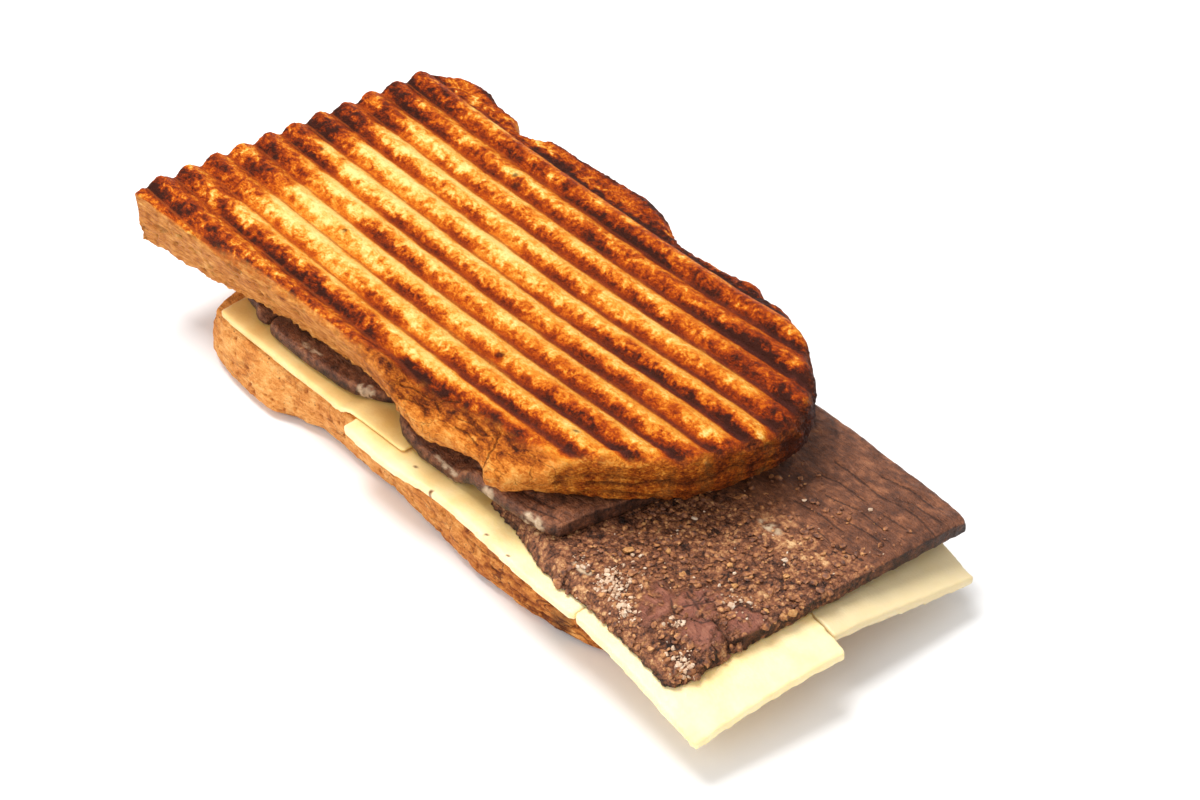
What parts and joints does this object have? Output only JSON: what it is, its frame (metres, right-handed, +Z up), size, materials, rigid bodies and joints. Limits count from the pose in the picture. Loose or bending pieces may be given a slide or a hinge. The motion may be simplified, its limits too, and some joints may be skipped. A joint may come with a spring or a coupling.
{
  "type": "braised meat cheese toastie",
  "caption": "Long toastie pressed in a ridged grill: browned bread slices with pale cheese and slabs of braised meat between them, which stick out at the rounded end.",
  "frame": {"origin": "middle of the whole footprint, on the table", "axes": "+X along the loaf towards its rounded front end, where the filling sticks out; +Y across it towards the crusty right side; +Z up"},
  "size_m": [0.2582, 0.1284, 0.0479],
  "materials": {
    "toasted_crust": "matte, ridged, golden with dark brown pressed lines",
    "toasted_crumb": "matte, pitted, tan with a browner edge",
    "cheese": "satin, pale yellow",
    "braised_meat": "moist, fibrous, dark brown"
  },
  "bodies": {
    "root": {"bottom_bread": "toasted_crumb", "cheese_slice_back": "cheese", "cheese_slice_middle": "cheese", "cheese_slice_front": "cheese", "cheese_slice_right_back": "cheese", "cheese_slice_right_front": "cheese", "meat_scrap_back": "braised_meat", "meat_slab_back": "braised_meat", "meat_slab_middle": "braised_meat", "meat_slab_front": "braised_meat", "top_bread": "toasted_crust"}
  },
  "joints": []
}
